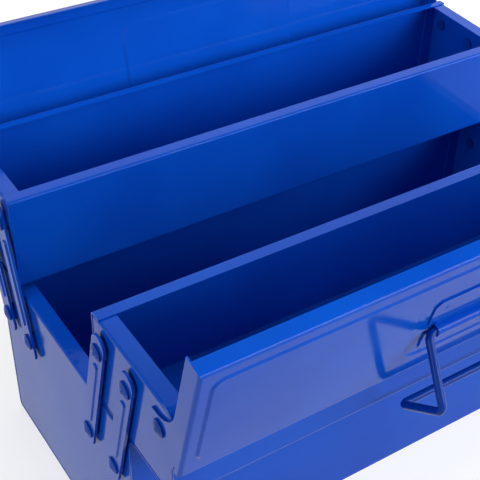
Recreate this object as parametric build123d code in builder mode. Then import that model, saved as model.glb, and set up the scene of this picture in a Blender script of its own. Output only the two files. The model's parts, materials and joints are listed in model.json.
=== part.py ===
"""Two-tier cantilever tool box of painted sheet steel, standing open.

A deep lower body carries a front and a rear tray on eight flat links. Each tray has a
lid that turns on two rivets, and each lid has a wire handle in a pressed bracket.
Millimetres, +Z up, origin on the ground under the middle of the body. The front is -Y,
and the pose is the open one: links leaning out, lids turned back, handles hanging.
"""
import os
from math import asin, cos, radians, sin, tan

from build123d import *

# --- driving sizes, in millimetres and degrees ---------------------------------------
sheet = 0.8                  # steel sheet of body, trays, lids and brackets

box_length = 350.0           # outside length of body and trays along X
body_depth = 160.0           # outside depth of the body along Y
body_height = 119.5          # height of the body's top edge
body_bottom_bend = 3.0       # outer radius of the body's two long bottom bends
body_top_bend = 2.0          # outer radius where a long wall turns into its strip
body_strip = 9.0             # width of the strip along a long wall's top
body_end_flange = 9.0        # reach of a body end's flanges

tray_depth = 76.0            # outside depth of one tray
tray_height = 57.0           # outside height of one tray
tray_bottom_bend = 2.0       # outer radius of a tray's long bottom bends
tray_inner_bend = 1.6        # outer radius at the top of the tray's inner wall
tray_outer_bend = 5.5        # outer radius at the top of the tray's outer wall
tray_inner_strip = 7.6       # strip on the wall nearest the middle
tray_outer_strip = 8.6       # strip on the wall under the lid's pivot
tray_end_flange = 9.3        # reach of a tray end's flanges
end_bend = 1.4               # outer radius round the face of every flanged end

link_reach = 74.0            # pivot to pivot of a link
link_width = 12.0
link_thickness = 1.5
link_overrun = 5.5           # straight length past each pivot before the round end
link_spacing = 28.0          # between the two links at one end of a tray
link_open_angle = 15.2       # outward lean of the links when open, from the vertical
link_bead_width = 4.6        # pressed rib along the middle of a link
link_bead_height = 0.7
link_bead_gap = 10.5         # from a pivot to the start of the rib
lower_pivot_offset = 37.7    # lower pivot of the inner link, from the middle plane
lower_pivot_drop = 29.0      # lower pivots below the body's top edge
tray_pivot_offset = 9.75     # upper pivot of the inner link, from the tray's inner wall
tray_pivot_height = 40.0     # upper pivots above the tray's underside
closed_wall_offset = 2.6     # tray's inner wall to the middle plane when closed

rivet_shank = 5.0            # diameter
rivet_head = 9.4             # diameter
rivet_head_height = 1.9
rivet_head_edge = 0.8        # straight side of the head, under its dome
rivet_tail = 7.6             # diameter of the upset end inside the wall
rivet_tail_height = 1.3
washer_diameter = 10.0
washer_thickness = 1.5
pivot_clearance = 0.08       # radial, link or lid hole round a rivet
side_clearance = 0.10        # axial, each side of a link or a lid ear

lid_pivot_offset = 66.0      # lid pivot from the tray's inner wall
lid_pivot_drop = 16.0        # lid pivot below the tray's top
lid_lean = 13.5              # how far the open lid leans out past the vertical
lid_rise = 20.0              # lid pivot to the outer face of the panel
lid_overhang = 13.4          # lid pivot to the panel's outer bend, along the panel
lid_centre_gap = 0.3         # closed lid's edge to the middle plane
lid_centre_flange = 8.0      # depth of the flange along the centre edge
lid_arm_depth = 10.9         # depth of the side arms
lid_end_gap = 0.4            # tray end to lid arm
lid_ear_radius = 9.8         # round end of the ear about the pivot
lid_shoulder_angle = 38.5    # end of the ear's round, past straight down
lid_notch_reach = 24.0       # where the ear's hollow curve meets the arm, from the pivot
lid_bend = 2.0               # outer bend radius round the panel
lid_stop_gap = 0.15          # skirt to tray wall when the lid is open
slit_width = 0.7             # relief slit in the arm, beside the skirt
slit_length = 4.0
slit_inset = 4.6             # slit from the panel's outer face

panel_rim_side = 5.0         # flat rim round the raised field, inside the tray's ends
panel_rim_centre = 7.0       # flat rim along the centre edge
panel_rim_outer = 10.0       # flat rim along the outer bend
emboss_height = 0.8
emboss_radius = 7.0
emboss_slope = 62.0          # lean of the pressed slopes from the panel's normal
recess_length = 120.0        # sunk field behind the bracket
recess_low = 2.5             # its edges, from the pivot along the panel
recess_high = 50.0
recess_radius = 10.0

wire = 4.2                   # diameter of the handle wire
wire_bend = 4.5              # bend radius on the wire's centre line
handle_elbow_run = 24.4      # axle to elbow, down along the panel
handle_elbow_out = 28.7      # axle to elbow, out from the panel
handle_grip_run = 50.6       # axle to grip, down along the panel
handle_grip_out = 6.2        # axle to grip, out from the panel
handle_span = 100.0          # between the arms at the axle
handle_splay = 4.0           # how much farther out the elbow and grip end stand
handle_stub = 26.0           # length of each wire end inside the bracket
axle_reach = 21.5            # lid pivot to the handle's axle, along the panel
wire_fit = 0.10              # radial clearance of the wire in its tunnel

bracket_length = 101.0
bracket_tunnel_length = 92.0
bracket_low = 5.5            # bracket's edges, from the pivot along the panel
bracket_high = 42.3
bracket_corner = 3.0         # chamfer of its corners
bracket_notch = 5.5          # clear run past the axle, where a raised handle arm lies

# --- places worked out from the sizes -------------------------------------------------
half_length = box_length / 2
lower_pivot_z = body_height - lower_pivot_drop
open_swing = radians(link_open_angle)
upper_pivot_offset = lower_pivot_offset + link_reach * sin(open_swing)
upper_pivot_z = lower_pivot_z + link_reach * cos(open_swing)

tray_wall = upper_pivot_offset - tray_pivot_offset      # inner wall from the middle plane
tray_floor = upper_pivot_z - tray_pivot_height          # underside of the open tray
tray_top = tray_floor + tray_height
lid_pivot_y = tray_wall + lid_pivot_offset
lid_pivot_z = tray_top - lid_pivot_drop

lean = radians(lid_lean)
lid_edge = closed_wall_offset + lid_pivot_offset - lid_centre_gap   # pivot to centre edge
lid_half_length = half_length + lid_end_gap + sheet                 # outer face of an arm
pivot_to_wall = tray_depth - lid_pivot_offset
lid_skirt = (lid_rise * cos(lean) - lid_overhang * sin(lean)
             - pivot_to_wall - lid_stop_gap) / cos(lean)

link_face = half_length + washer_thickness + side_clearance         # inner face of a link
link_rivet_face = link_face + link_thickness + side_clearance       # under a link rivet's head
lid_rivet_face = lid_half_length + side_clearance                   # under a lid rivet's head

FRONT, REAR = -1, 1
LEFT, RIGHT = -1, 1
side_names = {FRONT: "front", REAR: "rear"}
end_names = {LEFT: "left", RIGHT: "right"}


def section(side, x=0.0):
    """Plane across the box: its X runs outwards on that side and its Y runs up."""
    return Plane(origin=(x, 0, 0), x_dir=(0, side, 0), z_dir=(side, 0, 0))


def lid_plane(side, rise=0.0):
    """Plane along an open lid's panel, through its pivot line: Y runs to the centre edge."""
    normal = (0, side * cos(lean), -sin(lean))
    foot = Vector(0, side * lid_pivot_y, lid_pivot_z) + Vector(*normal) * rise
    return Plane(origin=foot, x_dir=(-side, 0, 0), z_dir=normal)


def lid_section(side, x=0.0):
    """Plane across an open lid at x: its X runs along the panel and its Y out of it."""
    along = (0, side * sin(lean), cos(lean))
    origin = (x, side * lid_pivot_y, lid_pivot_z)
    return Plane(origin=origin, x_dir=along, z_dir=(-side, 0, 0))


def bent_channel(side, start, floor, depth, height, bends, strips):
    """Long walls and floor bent from one sheet, with an inward strip along each top."""
    inner_bend, outer_bend, bottom_bend = bends
    inner_strip, outer_strip = strips
    with BuildPart() as wrap:
        with BuildSketch(section(side)) as profile:
            with Locations((start + depth / 2, floor + height / 2)):
                Rectangle(depth, height)
            round_section(profile, inner_bend, outer_bend, bottom_bend)
            offset(amount=-sheet, mode=Mode.SUBTRACT)
            with Locations((start + inner_strip, floor + height)):
                Rectangle(depth - inner_strip - outer_strip, 2 * sheet + outer_bend,
                          align=(Align.MIN, Align.CENTER), mode=Mode.SUBTRACT)
        extrude(amount=half_length, both=True)
    return wrap


def round_section(profile, inner_bend, outer_bend, bottom_bend):
    """Round a section's corners: both at the bottom, then the two at the top."""
    fillet(profile.vertices().group_by(Axis.Y)[0], radius=bottom_bend)
    top = profile.vertices().group_by(Axis.Y)[-1].sort_by(Axis.X)
    fillet(top[-1], radius=outer_bend)
    top = profile.vertices().group_by(Axis.Y)[-1].sort_by(Axis.X)
    fillet(top[0], radius=inner_bend)


def flanged_end(side, end, start, floor, depth, height, bends, reach, holes):
    """Pressed end with flanges all round, which seats inside the ends of its channel."""
    inner_bend, outer_bend, bottom_bend = bends
    inward = -end * side
    with BuildPart() as pan:
        with BuildSketch(section(side, end * half_length)) as outline:
            with Locations((start + depth / 2, floor + height / 2)):
                Rectangle(depth - 2 * sheet, height - 2 * sheet)
            round_section(outline, inner_bend - sheet, outer_bend - sheet,
                          bottom_bend - sheet)
        extrude(amount=inward * reach)
        rim = pan.faces().sort_by(Axis.X, reverse=end > 0)[0].edges()
        fillet(rim, radius=end_bend)
        with BuildSketch(section(side, end * (half_length - sheet))) as hollow:
            add(outline.sketch_local)
            offset(amount=-sheet, mode=Mode.REPLACE)
        extrude(amount=inward * reach, mode=Mode.SUBTRACT)
        with BuildSketch(section(side, end * half_length)):
            with Locations(*holes):
                Circle(rivet_shank / 2)
        extrude(amount=inward * sheet, mode=Mode.SUBTRACT)
    return pan


def rivet_profile(end, y, z, head_face):
    """Half section of a domed rivet: upset tail inside the wall, head over head_face."""
    wall_inside = half_length - sheet
    tail_end = wall_inside - rivet_tail_height
    crown = (head_face + rivet_head_height, 0)
    dome_height = rivet_head_height - rivet_head_edge
    dome_radius = ((rivet_head / 2) ** 2 + dome_height ** 2) / (2 * dome_height)
    dome_centre = crown[0] - dome_radius
    half_sweep = asin(rivet_head / 2 / dome_radius) / 2
    dome_middle = (dome_centre + dome_radius * cos(half_sweep), dome_radius * sin(half_sweep))
    across = Plane(origin=(0, y, z), x_dir=(end, 0, 0), z_dir=(0, -end, 0))
    with BuildSketch(across) as profile:
        with BuildLine():
            Polyline(crown,
                     (tail_end, 0),
                     (tail_end, rivet_tail / 2),
                     (wall_inside, rivet_tail / 2),
                     (wall_inside, rivet_shank / 2),
                     (head_face, rivet_shank / 2),
                     (head_face, rivet_head / 2),
                     (head_face + rivet_head_edge, rivet_head / 2))
            ThreePointArc((head_face + rivet_head_edge, rivet_head / 2), dome_middle, crown)
        make_face()
    return profile.sketch


def rivets(places, head_face):
    """Group of like rivets at (end, y, z) places."""
    with BuildPart() as group:
        for end, y, z in places:
            profile = rivet_profile(end, y, z, head_face)
            revolve(profile, axis=Axis((0, y, z), (1, 0, 0)))
    return group


def washers(places):
    """Group of plain washers between the end walls and the links."""
    with BuildPart() as group:
        for end, y, z in places:
            with BuildSketch(Plane(origin=(end * half_length, y, z), x_dir=(0, 1, 0),
                                   z_dir=(end, 0, 0))):
                Circle(washer_diameter / 2)
                Circle(rivet_shank / 2, mode=Mode.SUBTRACT)
            extrude(amount=washer_thickness)
    return group


def link(side, end, lower_offset):
    """Flat link with round ends, two pivot holes and a pressed rib, leaning out."""
    outward = end * side
    upper_offset = lower_offset + link_reach * sin(open_swing)
    middle = ((lower_offset + upper_offset) / 2, (lower_pivot_z + upper_pivot_z) / 2)
    turn = 90 - link_open_angle
    inner_face = section(side, end * link_face)
    outer_face = section(side, end * (link_face + link_thickness))
    bead_length = link_reach - 2 * link_bead_gap
    with BuildPart() as bar:
        with BuildSketch(inner_face):
            with Locations(Location(middle, turn)):
                SlotCenterToCenter(link_reach + 2 * link_overrun, link_width)
            with Locations((lower_offset, lower_pivot_z), (upper_offset, upper_pivot_z)):
                Circle(rivet_shank / 2 + pivot_clearance, mode=Mode.SUBTRACT)
        extrude(amount=outward * link_thickness)
        with BuildSketch(outer_face):
            with Locations(Location(middle, turn)):
                SlotOverall(bead_length, link_bead_width)
        extrude(amount=outward * link_bead_height, taper=emboss_slope / 2)
        with BuildSketch(inner_face):
            with Locations(Location(middle, turn)):
                SlotOverall(bead_length - sheet, link_bead_width - sheet)
        extrude(amount=outward * link_bead_height, taper=emboss_slope / 2,
                mode=Mode.SUBTRACT)
    return bar


def arm_outline():
    """Side arm of a lid with its pivot ear; X runs along the panel and Y out of it."""
    shoulder = radians(lid_shoulder_angle)
    ear_start = (-lid_ear_radius, 0)
    ear_end = (lid_ear_radius * sin(shoulder), -lid_ear_radius * cos(shoulder))
    half_sweep = (radians(90) + shoulder) / 2
    ear_low = (-lid_ear_radius * cos(half_sweep), -lid_ear_radius * sin(half_sweep))
    arm_edge = lid_rise - lid_arm_depth
    with BuildSketch() as outline:
        with BuildLine():
            ThreePointArc(ear_start, ear_low, ear_end)
            TangentArc((lid_notch_reach, arm_edge), ear_end, tangent=(-1, 0))
            Polyline((lid_notch_reach, arm_edge),
                     (lid_edge, arm_edge),
                     (lid_edge, lid_rise),
                     (-lid_overhang, lid_rise),
                     (-lid_overhang, arm_edge / 2),
                     ear_start)
        make_face()
        with Locations((-lid_overhang, lid_rise - slit_inset)):
            Rectangle(2 * slit_length, slit_width, mode=Mode.SUBTRACT)
        Circle(rivet_shank / 2 + pivot_clearance, mode=Mode.SUBTRACT)
    return outline.sketch


def field(inset):
    """Outline of the raised field on the panel, drawn in by inset."""
    length = 2 * (half_length - panel_rim_side)
    low = -lid_overhang + panel_rim_outer
    run = lid_edge - panel_rim_centre - low
    with BuildSketch() as outline:
        with Locations((0, low + run / 2)):
            RectangleRounded(length - 2 * inset, run - 2 * inset, emboss_radius)
    return outline.sketch


def recess(growth):
    """Outline of the sunk seat in the field's middle, let out by growth."""
    run = recess_high - recess_low
    with BuildSketch() as outline:
        with Locations((0, recess_low + run / 2)):
            RectangleRounded(recess_length + 2 * growth, run + 2 * growth, recess_radius)
    return outline.sketch


def lid(side):
    """Pressed lid: panel, outer skirt, centre flange and two arms with pivot ears."""
    panel_length = 2 * lid_half_length
    panel_run = lid_overhang + lid_edge
    panel_middle = (lid_edge - lid_overhang) / 2
    depth = lid_rise + lid_ear_radius
    inside = lid_half_length - sheet
    shift = sheet * tan(radians(emboss_slope / 2))
    arm = arm_outline()
    with BuildPart() as pressed:
        with BuildSketch(lid_plane(side, lid_rise)):
            with Locations((0, panel_middle)):
                Rectangle(panel_length, panel_run)
        extrude(amount=-depth)
        top = pressed.faces().sort_by_distance(lid_plane(side, lid_rise).origin)[0]
        fillet(top.edges(), radius=lid_bend)
        with BuildSketch(lid_plane(side, lid_rise - sheet)):
            with Locations((0, panel_middle)):
                Rectangle(panel_length - 2 * sheet, panel_run - 2 * sheet)
        extrude(amount=-depth, mode=Mode.SUBTRACT)
        inner = pressed.faces().sort_by_distance(lid_plane(side, lid_rise - sheet).origin)[0]
        fillet(inner.edges(), radius=lid_bend - sheet)
        with BuildSketch(lid_section(side)):
            with Locations((-lid_overhang - sheet, lid_rise - lid_skirt)):
                Rectangle(lid_overhang, 2 * depth, align=(Align.MIN, Align.MAX))
            with Locations((lid_edge + sheet, lid_rise - lid_centre_flange)):
                Rectangle(lid_edge, 2 * depth, align=(Align.MAX, Align.MAX))
        extrude(amount=inside, both=True, mode=Mode.SUBTRACT)
        for end in (LEFT, RIGHT):
            with BuildSketch(lid_section(side, end * inside)):
                with Locations((panel_middle, 0)):
                    Rectangle(2 * panel_run, 4 * depth)
                add(arm, mode=Mode.SUBTRACT)
            extrude(amount=-end * side * 2 * sheet, mode=Mode.SUBTRACT)
        for level, outline, mode in ((lid_rise, field(0), Mode.ADD),
                                     (lid_rise - sheet, field(shift), Mode.SUBTRACT)):
            with BuildSketch(lid_plane(side, level)):
                add(outline)
            extrude(amount=emboss_height, taper=emboss_slope, mode=mode)
        raised = lid_rise + emboss_height
        for level, outline, mode in ((raised, recess(0), Mode.SUBTRACT),
                                     (raised - sheet, recess(shift), Mode.ADD)):
            with BuildSketch(lid_plane(side, level)):
                add(outline)
            extrude(amount=-emboss_height, taper=emboss_slope, mode=mode)
    return pressed


def bracket(side):
    """Plate on the lid with a half-round tunnel pressed in it for the handle's ends."""
    bore = wire / 2 + wire_fit
    with BuildPart() as plate:
        with BuildSketch(lid_plane(side, lid_rise)) as flat:
            with Locations((0, (bracket_low + bracket_high) / 2)):
                Rectangle(bracket_length, bracket_high - bracket_low)
            chamfer(flat.vertices(), length=bracket_corner)
        extrude(amount=sheet)
        with BuildSketch(lid_section(side)):
            with Locations((axle_reach, lid_rise + bore)):
                Circle(bore + sheet)
            with Locations((axle_reach, lid_rise)):
                Rectangle(2 * (bore + sheet), bore, align=(Align.CENTER, Align.MIN))
                Rectangle(4 * bore, 4 * bore, align=(Align.CENTER, Align.MAX),
                          mode=Mode.SUBTRACT)
        extrude(amount=bracket_tunnel_length / 2, both=True)
        with BuildSketch(lid_section(side)):
            with Locations((axle_reach, lid_rise + bore)):
                Circle(bore)
            with Locations((axle_reach, lid_rise)):
                Rectangle(2 * bore, 2 * bore)
        extrude(amount=bracket_length, both=True, mode=Mode.SUBTRACT)
        with BuildSketch(lid_plane(side, lid_rise)):
            with Locations((-bracket_length / 2, axle_reach), (bracket_length / 2, axle_reach)):
                Rectangle(bracket_length - bracket_tunnel_length, bracket_notch,
                          align=(Align.CENTER, Align.MIN))
        extrude(amount=sheet, mode=Mode.SUBTRACT)
    return plate


def handle(side):
    """Wire handle hanging from its bracket: two ends, two bent arms and the grip."""
    rise = lid_rise + wire / 2 + wire_fit
    at_axle = handle_span / 2
    at_elbow = at_axle + handle_splay
    elbow = (axle_reach - handle_elbow_run, rise + handle_elbow_out)
    grip = (axle_reach - handle_grip_run, rise + handle_grip_out)
    half = [(at_axle - handle_stub, axle_reach, rise),
            (at_axle, axle_reach, rise),
            (at_elbow, *elbow),
            (at_elbow, *grip)]
    other_half = [(-x, along, out) for x, along, out in reversed(half)]
    with BuildPart() as bail:
        with BuildLine(lid_plane(side)) as route:
            FilletPolyline(*half, *other_half, radius=wire_bend)
        with BuildSketch(Plane(origin=route.line @ 0, z_dir=route.line % 0)):
            Circle(wire / 2)
        sweep(path=route.line)
    return bail


def save(piece, name):
    """Label a finished piece and write its STEP file."""
    piece.part.label = name
    export_step(piece.part, f"parts/{name}.step")


def make_body():
    """Lower body: one bent channel, two flanged ends, and the links' lower rivets."""
    start = -body_depth / 2
    bends = (body_top_bend, body_top_bend, body_bottom_bend)
    wrap = bent_channel(REAR, start, 0, body_depth, body_height, bends,
                         (body_strip, body_strip))
    save(wrap, "body_wrap")
    offsets = [side * (lower_pivot_offset + step)
               for side in (FRONT, REAR) for step in (0, link_spacing)]
    holes = [(y, lower_pivot_z) for y in offsets]
    for end in (LEFT, RIGHT):
        pan = flanged_end(REAR, end, start, 0, body_depth, body_height, bends,
                          body_end_flange, holes)
        save(pan, f"body_end_{end_names[end]}")
    places = [(end, y, lower_pivot_z) for end in (LEFT, RIGHT) for y in offsets]
    save(rivets(places, link_rivet_face), "body_link_rivets")
    save(washers(places), "body_link_washers")


def make_tray(side):
    """One tray: bent channel, two flanged ends, the links' upper rivets, lid rivets."""
    name = side_names[side]
    bends = (tray_inner_bend, tray_outer_bend, tray_bottom_bend)
    wrap = bent_channel(side, tray_wall, tray_floor, tray_depth, tray_height, bends,
                         (tray_inner_strip, tray_outer_strip))
    save(wrap, f"{name}_tray_wrap")
    link_offsets = [upper_pivot_offset, upper_pivot_offset + link_spacing]
    holes = [(offset_out, upper_pivot_z) for offset_out in link_offsets]
    holes.append((lid_pivot_y, lid_pivot_z))
    for end in (LEFT, RIGHT):
        pan = flanged_end(side, end, tray_wall, tray_floor, tray_depth, tray_height,
                          bends, tray_end_flange, holes)
        save(pan, f"{name}_tray_end_{end_names[end]}")
    link_places = [(end, side * offset_out, upper_pivot_z)
                   for end in (LEFT, RIGHT) for offset_out in link_offsets]
    save(rivets(link_places, link_rivet_face), f"{name}_tray_link_rivets")
    save(washers(link_places), f"{name}_tray_link_washers")
    lid_places = [(end, side * lid_pivot_y, lid_pivot_z) for end in (LEFT, RIGHT)]
    save(rivets(lid_places, lid_rivet_face), f"{name}_lid_rivets")


def make_links(side):
    """Four links of one tray: an inner and an outer one at each end."""
    for end in (LEFT, RIGHT):
        place = f"{side_names[side]}_{end_names[end]}"
        save(link(side, end, lower_pivot_offset), f"{place}_inner_link")
        save(link(side, end, lower_pivot_offset + link_spacing), f"{place}_outer_link")


def make_lid(side):
    """One lid with its handle bracket and wire handle."""
    name = side_names[side]
    save(lid(side), f"{name}_lid")
    save(bracket(side), f"{name}_handle_bracket")
    save(handle(side), f"{name}_handle")


os.makedirs("parts", exist_ok=True)
make_body()
for side in (FRONT, REAR):
    make_tray(side)
    make_links(side)
    make_lid(side)
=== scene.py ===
"""Two-tier cantilever tool box in glossy blue enamel, standing open on a pale floor.

The metal pieces are the frame's own solids. This script paints them, adds the marks that
spot welding and pressing leave in the sheet, and sets up the studio. Metres, +Z up.
"""
import json
import math

import bmesh
import bpy
from mathutils import Matrix, Vector

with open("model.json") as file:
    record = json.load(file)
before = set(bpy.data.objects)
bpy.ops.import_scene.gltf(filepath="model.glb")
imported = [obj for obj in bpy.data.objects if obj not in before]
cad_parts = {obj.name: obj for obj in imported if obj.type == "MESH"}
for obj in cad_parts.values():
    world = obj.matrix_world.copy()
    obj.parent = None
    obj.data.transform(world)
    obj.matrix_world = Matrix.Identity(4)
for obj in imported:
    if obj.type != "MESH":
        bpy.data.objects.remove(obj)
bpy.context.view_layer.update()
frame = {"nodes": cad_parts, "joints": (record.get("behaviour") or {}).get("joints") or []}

# --- enamel, as linear colours ----------------------------------------------------------
BLUE = (0.002, 0.079, 0.54)
BLUE_DEEP = (0.0015, 0.063, 0.48)
BLUE_PAINTED_SHADE = (0.001, 0.034, 0.27)      # handles and rivets: the same enamel made darker, as painted shade
PAINT_IOR = 1.20             # below real enamel, which would mirror the floor too brightly
NOISE_LOW, NOISE_HIGH = 0.35, 0.65    # the part of a noise that is spread out
DRIFT_SCALE = 14.0           # slow drift between the two blues
SMEAR_SCALE = 38.0           # patches of higher and lower gloss
WAVE_SCALE = 17.0            # unevenness of the sheet
PEEL_SCALE = 620.0           # orange peel
PEEL_STRENGTH = 0.10
PEEL_DEPTH = 0.00006
DENT_STRENGTH = 0.7
DENT_DEPTH = 0.00025

# kind of piece: main colour, deep colour, waviness of the sheet, least and most roughness
FINISHES = {
    "body": (BLUE, BLUE_DEEP, 0.0006, (0.08, 0.14)),
    "tray": (BLUE, BLUE_DEEP, 0.00035, (0.08, 0.14)),
    "lid": (BLUE, BLUE_DEEP, 0.0005, (0.08, 0.14)),
    "bracket": (BLUE, BLUE_DEEP, 0.0002, (0.08, 0.14)),
    "link": (BLUE, BLUE_DEEP, 0.0001, (0.14, 0.24)),
    # handles and rivets carry the blue darkened as painted shade
    "handle": (BLUE_PAINTED_SHADE, BLUE_PAINTED_SHADE, 0.00005, (0.18, 0.26)),
    "rivet": (BLUE_DEEP, BLUE_PAINTED_SHADE, 0.00005, (0.16, 0.26)),
}

# --- marks in the sheet: (x, y, z), alike at the left and right ends ----------------------
WELD_INSET = 0.0042          # weld spots from the end of a wall
WELD_RADIUS = 0.0021
HALF_LENGTH = 0.175
BODY_WALL = 0.080
TRAY_WALLS = (0.0474, 0.1234)
BODY_WELD_HEIGHTS = (0.022, 0.050, 0.078, 0.103)
TRAY_WELD_HEIGHTS = (0.1337, 0.1542, 0.1747)
FLANGE_DENTS = ((0.1701, 0.0246, 0.1187),
                (0.1725, -0.0083, 0.1187),
                (0.1728, -0.0167, 0.1187))
LID_LEAN = math.radians(13.5)
LID_PANEL = 0.0208           # pivot line to the face of the bracket plate
BRACKET_WELDS = ((0.0427, 0.0363), (0.0400, 0.0097), (0.0130, 0.0363), (0.0130, 0.0097))
BRACKET_WELD_RADIUS = 0.0016

# --- round over the cut edges, which takes hold on few of the solids' edges ---------------
EDGE_ROUND = 0.00022
EDGE_SEGMENTS = 2
EDGE_ANGLE = math.radians(50)
SHADING_WEIGHT = 80

# --- floor, surround and lamps ------------------------------------------------------------
WHITE = (1, 1, 1)
FLOOR = (0.42, 0.42, 0.42)
FLOOR_GLOW = 0.66            # lifts the floor to near white, seen or mirrored
FLOOR_DULL = (0.32, 0.32, 0.33)       # the floor as diffuse light gathers from it
FLOOR_RADIUS = 6.0
FLOOR_SEGMENTS = 96
FLOOR_DROP = 0.0002          # clear of the box's underside

FILL = 0.10                  # strength of the surround as a light
FILL_COLOUR = (0.95, 0.97, 1.0)
CEILING = 0.12               # grey of the ceiling, against the white walls
CEILING_START = 0.60         # sine of the elevation where the ceiling begins
CEILING_FULL = 0.74

LAMP_TARGET = (0, 0, 0.15)
# name, place, width and height, watts, whether the paint mirrors it
LAMPS = (
    ("soft_front", (1.15, -1.4, 0.85), (1.8, 1.0), 45, True),
    ("soft_left", (-1.8, -0.35, 0.6), (1.3, 1.0), 15, True),
    ("soft_top", (0, 0.1, 1.8), (1.4, 1.4), 14, False),
    ("soft_back", (0.85, 1.25, 1.2), (2.2, 1.4), 9, True),
)

# --- the photograph's camera --------------------------------------------------------------
PHOTO_SIZE = 480.0
SENSOR_MM = 36.0
CAMERA_PLACE = Vector((-0.3197, -0.3963, 0.5201))
CAMERA_YAW = 0.6447          # turned right of +Y, radians
CAMERA_PITCH = 0.6947        # tilted down
CAMERA_ROLL = -0.0707
FOCAL_PX = 1087.6
CENTRE_PX = (299.2, 264.8)   # where the optical axis meets the photograph
CLIP_START = 0.01


class Nodes:
    """Small helper that builds a node tree from nothing."""

    def __init__(self, tree, output_kind):
        self.tree = tree
        self.tree.nodes.clear()
        self.output = self.add(output_kind)

    def add(self, kind, **settings):
        node = self.tree.nodes.new(kind)
        for key, value in settings.items():
            setattr(node, key, value)
        return node

    def link(self, start, end):
        self.tree.links.new(start, end)

    def noise(self, scale, detail=2.0, roughness=0.5):
        """Noise in the object's own space, so it keeps its size in metres."""
        place = self.add("ShaderNodeTexCoord")
        node = self.add("ShaderNodeTexNoise")
        node.inputs["Scale"].default_value = scale
        node.inputs["Detail"].default_value = detail
        node.inputs["Roughness"].default_value = roughness
        self.link(place.outputs["Object"], node.inputs["Vector"])
        return node.outputs["Fac"]

    def spread(self, source, low, high, start=NOISE_LOW, end=NOISE_HIGH):
        """Value of source between start and end, mapped to low and high."""
        node = self.add("ShaderNodeMapRange")
        node.inputs["From Min"].default_value = start
        node.inputs["From Max"].default_value = end
        node.inputs["To Min"].default_value = low
        node.inputs["To Max"].default_value = high
        self.link(source, node.inputs["Value"])
        return node.outputs["Result"]

    def bump(self, height, strength, depth, normal=None):
        """Normal bent by a height, on top of an earlier bump's normal."""
        node = self.add("ShaderNodeBump")
        node.inputs["Strength"].default_value = strength
        node.inputs["Distance"].default_value = depth
        self.link(height, node.inputs["Height"])
        if normal:
            self.link(normal, node.inputs["Normal"])
        return node.outputs["Normal"]

    def larger(self, first, second):
        node = self.add("ShaderNodeMath", operation="MAXIMUM")
        self.link(first, node.inputs[0])
        self.link(second, node.inputs[1])
        return node.outputs["Value"]

    def shown(self):
        """1 for what the camera sees, directly or in a reflection or through glass."""
        ray = self.add("ShaderNodeLightPath")
        mirrored = self.larger(ray.outputs["Is Glossy Ray"],
                               ray.outputs["Is Transmission Ray"])
        return self.larger(ray.outputs["Is Camera Ray"], mirrored)


def new_material(name):
    """A material with an empty node tree, and the helper to fill it."""
    material = bpy.data.materials.new(name)
    material.use_nodes = True
    return material, Nodes(material.node_tree, "ShaderNodeOutputMaterial")


def dents(nodes, places, radius):
    """Height of round dents at places, which are alike at the left and right ends."""
    place = nodes.add("ShaderNodeTexCoord")
    apart = nodes.add("ShaderNodeSeparateXYZ")
    away_from_middle = nodes.add("ShaderNodeMath", operation="ABSOLUTE")
    fold = nodes.add("ShaderNodeCombineXYZ")
    nodes.link(place.outputs["Object"], apart.inputs["Vector"])
    nodes.link(apart.outputs["X"], away_from_middle.inputs[0])
    nodes.link(away_from_middle.outputs["Value"], fold.inputs["X"])
    nodes.link(apart.outputs["Y"], fold.inputs["Y"])
    nodes.link(apart.outputs["Z"], fold.inputs["Z"])
    height = None
    for spot in places:
        away = nodes.add("ShaderNodeVectorMath", operation="DISTANCE")
        away.inputs[1].default_value = spot
        nodes.link(fold.outputs["Vector"], away.inputs[0])
        dip = nodes.add("ShaderNodeMapRange", interpolation_type="SMOOTHSTEP")
        dip.inputs["From Max"].default_value = radius
        nodes.link(away.outputs["Value"], dip.inputs["Value"])
        if height is None:
            height = dip.outputs["Result"]
            continue
        lowest = nodes.add("ShaderNodeMath", operation="MINIMUM")
        nodes.link(height, lowest.inputs[0])
        nodes.link(dip.outputs["Result"], lowest.inputs[1])
        height = lowest.outputs["Value"]
    return height


def enamel(kind, marks=(), radius=WELD_RADIUS):
    """Stove enamel: gloss, slight colour drift, orange peel and uneven sheet."""
    main, deep, waviness, gloss = FINISHES[kind]
    material, nodes = new_material("enamel_" + kind)
    shader = nodes.add("ShaderNodeBsdfPrincipled")
    shader.inputs["IOR"].default_value = PAINT_IOR

    mix = nodes.add("ShaderNodeMix", data_type="RGBA")
    mix.inputs["A"].default_value = (*deep, 1)
    mix.inputs["B"].default_value = (*main, 1)
    drift = nodes.noise(DRIFT_SCALE, detail=3.0)
    nodes.link(nodes.spread(drift, 0, 1), mix.inputs["Factor"])
    nodes.link(mix.outputs["Result"], shader.inputs["Base Color"])

    smear = nodes.noise(SMEAR_SCALE, detail=4.0, roughness=0.6)
    nodes.link(nodes.spread(smear, *gloss), shader.inputs["Roughness"])

    normal = nodes.bump(nodes.noise(WAVE_SCALE, detail=1.0), 1.0, waviness)
    normal = nodes.bump(nodes.noise(PEEL_SCALE, detail=1.0), PEEL_STRENGTH, PEEL_DEPTH,
                        normal)
    if marks:
        normal = nodes.bump(dents(nodes, marks, radius), DENT_STRENGTH, DENT_DEPTH, normal)
    nodes.link(normal, shader.inputs["Normal"])
    nodes.link(shader.outputs["BSDF"], nodes.output.inputs["Surface"])
    return material


def weld_rows(walls, heights):
    """Weld spots up the end of each wall, front and rear."""
    inset = HALF_LENGTH - WELD_INSET
    return [(inset, side * wall, height)
            for side in (-1, 1) for wall in walls for height in heights]


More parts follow.
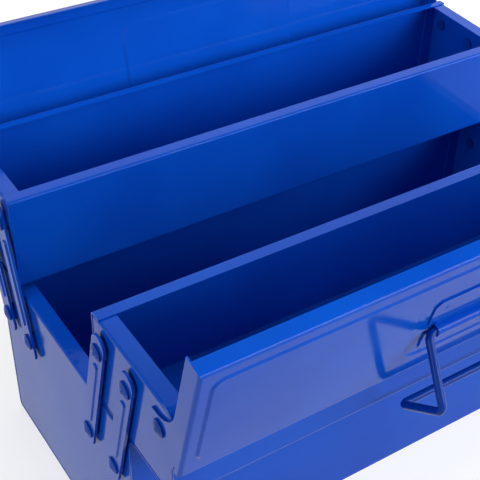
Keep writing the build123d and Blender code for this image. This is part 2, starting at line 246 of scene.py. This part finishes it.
def bracket_spots():
    """Weld spots on the handle brackets, from their places along and across a lid."""
    hinge = next(j for j in frame["joints"] if j["name"] == "rear_lid_hinge")
    pivot_y, pivot_z = hinge["pos_m"][1:]
    spots = []
    for across, along in BRACKET_WELDS:
        out = along * math.sin(LID_LEAN) + LID_PANEL * math.cos(LID_LEAN)
        up = along * math.cos(LID_LEAN) - LID_PANEL * math.sin(LID_LEAN)
        spots.append((across, pivot_y + out, pivot_z + up))
        spots.append((across, -pivot_y - out, pivot_z + up))
    return spots


def kind_of(name):
    """Which finish a node of the frame gets."""
    if name.endswith(("rivets", "washers")):
        return "rivet"
    if "link" in name:
        return "link"
    for kind in ("handle", "bracket", "lid"):
        if name.endswith(kind):
            return kind
    return "tray" if "tray" in name else "body"


def paint_nodes():
    """Gives every solid of the frame its enamel."""
    marks = {
        "body": (weld_rows((BODY_WALL,), BODY_WELD_HEIGHTS) + list(FLANGE_DENTS),),
        "tray": (weld_rows(TRAY_WALLS, TRAY_WELD_HEIGHTS),),
        "bracket": (bracket_spots(), BRACKET_WELD_RADIUS),
    }
    materials = {kind: enamel(kind, *marks.get(kind, ())) for kind in FINISHES}
    for name, node in frame["nodes"].items():
        material = materials[kind_of(name)]
        for slot in node.material_slots:
            slot.material = material
        if not node.material_slots:
            node.data.materials.append(material)


def soften_edges():
    """Rounds cut edges a little where the mesh allows it, and evens the shading."""
    for name, node in frame["nodes"].items():
        if name.endswith("washers"):
            continue
        bevel = node.modifiers.new("paint_edge", "BEVEL")
        bevel.width = EDGE_ROUND
        bevel.segments = EDGE_SEGMENTS
        bevel.limit_method = "ANGLE"
        bevel.angle_limit = EDGE_ANGLE
        smooth = node.modifiers.new("even_shading", "WEIGHTED_NORMAL")
        smooth.keep_sharp = False
        smooth.weight = SHADING_WEIGHT


def floor_material():
    """Floor that keeps the shadow, near white to the camera and in reflections alike."""
    material, nodes = new_material("studio_floor")
    plain = nodes.add("ShaderNodeBsdfDiffuse")
    plain.inputs["Color"].default_value = (*FLOOR, 1)
    glow = nodes.add("ShaderNodeEmission")
    glow.inputs["Color"].default_value = (*WHITE, 1)
    glow.inputs["Strength"].default_value = FLOOR_GLOW
    white = nodes.add("ShaderNodeAddShader")
    nodes.link(plain.outputs["BSDF"], white.inputs[0])
    nodes.link(glow.outputs["Emission"], white.inputs[1])
    dull = nodes.add("ShaderNodeBsdfDiffuse")
    dull.inputs["Color"].default_value = (*FLOOR_DULL, 1)
    choose = nodes.add("ShaderNodeMixShader")
    nodes.link(nodes.shown(), choose.inputs["Fac"])
    nodes.link(dull.outputs["BSDF"], choose.inputs[1])
    nodes.link(white.outputs["Shader"], choose.inputs[2])
    nodes.link(choose.outputs["Shader"], nodes.output.inputs["Surface"])
    return material


def add_floor():
    """Large round floor under the box."""
    mesh = bpy.data.meshes.new("studio_floor")
    shape = bmesh.new()
    bmesh.ops.create_circle(shape, cap_ends=True, segments=FLOOR_SEGMENTS,
                            radius=FLOOR_RADIUS)
    shape.to_mesh(mesh)
    shape.free()
    floor = bpy.data.objects.new("studio_floor", mesh)
    bpy.context.scene.collection.objects.link(floor)
    floor.data.materials.append(floor_material())
    floor.location.z = -FLOOR_DROP


def add_lights():
    """Soft boxes from the right front, the left, above and, weakly, behind."""
    for name, place, size, watts, mirrored in LAMPS:
        data = bpy.data.lights.new(name, "AREA")
        data.shape = "RECTANGLE"
        data.size, data.size_y = size
        data.energy = watts
        data.color = WHITE
        lamp = bpy.data.objects.new(name, data)
        lamp.location = place
        aim = Vector(LAMP_TARGET) - Vector(place)
        lamp.rotation_euler = aim.to_track_quat("-Z", "Y").to_euler()
        lamp.visible_glossy = mirrored
        bpy.context.scene.collection.objects.link(lamp)


def add_world():
    """White surround with a dark ceiling, weaker as a light than as it is seen."""
    world = bpy.data.worlds.new("studio")
    bpy.context.scene.world = world
    world.use_nodes = True
    nodes = Nodes(world.node_tree, "ShaderNodeOutputWorld")
    place = nodes.add("ShaderNodeTexCoord")
    height = nodes.add("ShaderNodeSeparateXYZ")
    nodes.link(place.outputs["Generated"], height.inputs["Vector"])
    seen = nodes.add("ShaderNodeBackground")
    seen.inputs["Color"].default_value = (*WHITE, 1)
    ceiling = nodes.spread(height.outputs["Z"], 1.0, CEILING, CEILING_START, CEILING_FULL)
    nodes.link(ceiling, seen.inputs["Strength"])
    fill = nodes.add("ShaderNodeBackground")
    fill.inputs["Color"].default_value = (*FILL_COLOUR, 1)
    fill.inputs["Strength"].default_value = FILL
    choose = nodes.add("ShaderNodeMixShader")
    nodes.link(nodes.shown(), choose.inputs["Fac"])
    nodes.link(fill.outputs["Background"], choose.inputs[1])
    nodes.link(seen.outputs["Background"], choose.inputs[2])
    nodes.link(choose.outputs["Shader"], nodes.output.inputs["Surface"])


def add_camera():
    """Camera at the photograph's place, angle and framing."""
    forward = Vector((math.sin(CAMERA_YAW) * math.cos(CAMERA_PITCH),
                      math.cos(CAMERA_YAW) * math.cos(CAMERA_PITCH),
                      -math.sin(CAMERA_PITCH)))
    level_right = Vector((math.cos(CAMERA_YAW), -math.sin(CAMERA_YAW), 0))
    level_down = forward.cross(level_right)
    right = math.cos(CAMERA_ROLL) * level_right + math.sin(CAMERA_ROLL) * level_down
    down = math.cos(CAMERA_ROLL) * level_down - math.sin(CAMERA_ROLL) * level_right
    data = bpy.data.cameras.new("photo_camera")
    data.sensor_fit = "HORIZONTAL"
    data.sensor_width = SENSOR_MM
    data.lens = FOCAL_PX / PHOTO_SIZE * SENSOR_MM
    data.shift_x = (PHOTO_SIZE / 2 - CENTRE_PX[0]) / PHOTO_SIZE
    data.shift_y = (CENTRE_PX[1] - PHOTO_SIZE / 2) / PHOTO_SIZE
    data.clip_start = CLIP_START
    camera = bpy.data.objects.new("photo_camera", data)
    turn = Matrix((right, -down, -forward)).transposed().to_4x4()
    camera.matrix_world = Matrix.Translation(CAMERA_PLACE) @ turn
    bpy.context.scene.collection.objects.link(camera)
    bpy.context.scene.camera = camera


paint_nodes()
soften_edges()
add_floor()
add_lights()
add_world()
add_camera()
bpy.context.scene.view_settings.view_transform = "Standard"
